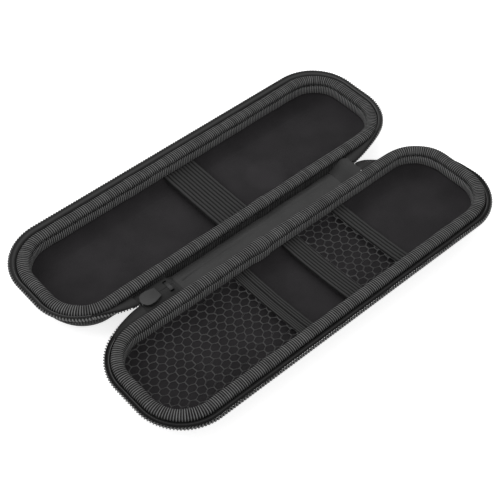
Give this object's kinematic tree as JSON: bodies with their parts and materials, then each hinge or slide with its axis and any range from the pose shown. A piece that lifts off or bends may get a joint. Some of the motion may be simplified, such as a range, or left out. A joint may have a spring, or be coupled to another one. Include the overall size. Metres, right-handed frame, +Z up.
{
  "type": "electric toothbrush travel case",
  "caption": "Slim zipped hard travel case, lying open, with elastic bands and net pockets in a base and a lid half that fold shut about a soft spine.",
  "frame": {"origin": "on the surface that the open case lies on, under the middle of the case, between its two halves", "axes": "+X along the case, away from the slider's end; the lid half lies on the +Y side and the base half, with the pockets, on the -Y side; +Z up"},
  "size_m": [0.232, 0.1528, 0.0199],
  "materials": {
    "shell_fabric": "matt woven fabric over moulded foam",
    "lining": "matt brushed knit",
    "binding": "ribbed grosgrain tape",
    "zip_tape": "fine woven tape",
    "zip_teeth": "nylon coil",
    "net": "knitted thread",
    "elastic": "ribbed woven elastic",
    "spine_fabric": "smooth coated fabric",
    "metal": "dark plated metal",
    "slider_paint": "satin paint",
    "rubber_grip": "matt moulded rubber"
  },
  "bodies": {
    "base": {"base_shell": "shell_fabric", "base_lining": "lining", "base_binding": "binding", "base_zip_tape": "zip_tape", "base_zip_teeth": "zip_teeth", "base_zip_end_left": "zip_teeth", "base_zip_end_right": "zip_teeth", "large_pocket_net": "net", "large_pocket_band": "elastic", "small_pocket_net": "net", "small_pocket_wide_band": "elastic", "small_pocket_narrow_band": "elastic"},
    "lid": {"lid_shell": "shell_fabric", "lid_lining": "lining", "lid_binding": "binding", "lid_zip_tape": "zip_tape", "lid_zip_teeth": "zip_teeth", "lid_zip_end_left": "zip_teeth", "lid_zip_end_right": "zip_teeth", "lid_band": "elastic"},
    "spine": {"spine_fabric": "spine_fabric", "spine_lining": "spine_fabric", "spine_tab_left": "spine_fabric", "spine_tab_right": "spine_fabric"},
    "zip_end": {"zip_chain_end": "zip_teeth", "zip_bottom_stop": "metal"},
    "slider": {"zip_slider": "slider_paint"},
    "puller": {"puller_frame": "metal", "puller_grip": "rubber_grip"}
  },
  "joints": [
    {"name": "spine_fold", "type": "hinge", "parent": "base", "child": "spine", "pos_m": [0, -0.0076, 0.0124], "axis": [1, 0, 0], "range_deg": [0, 90], "deforming": ["base_zip_end_left", "base_zip_end_right", "spine_tab_right"]},
    {"name": "lid_fold", "type": "hinge", "parent": "spine", "child": "lid", "pos_m": [0, 0.0076, 0.0124], "axis": [1, 0, 0], "range_deg": [0, 90], "deforming": ["lid_zip_end_left", "lid_zip_end_right"]},
    {"name": "zip_end_shift", "type": "slide", "parent": "spine", "child": "zip_end", "axis": [0, 0, -1], "range_m": [0, 0.0061], "deforming": ["spine_tab_left"]},
    {"name": "slider_slide", "type": "slide", "parent": "zip_end", "child": "slider", "axis": [-1, 0, 0], "range_m": [-0.004, 0.01]},
    {"name": "puller_swing", "type": "hinge", "parent": "slider", "child": "puller", "pos_m": [-0.0704, 0, 0.0122], "axis": [0, 1, 0], "range_deg": [-90, 90]}
  ],
  "couplings": [
    {"joint": "lid_fold", "follows": "spine_fold", "ratio": 1},
    {"joint": "zip_end_shift", "follows": "spine_fold", "m_per_rad": 0.0038833}
  ]
}
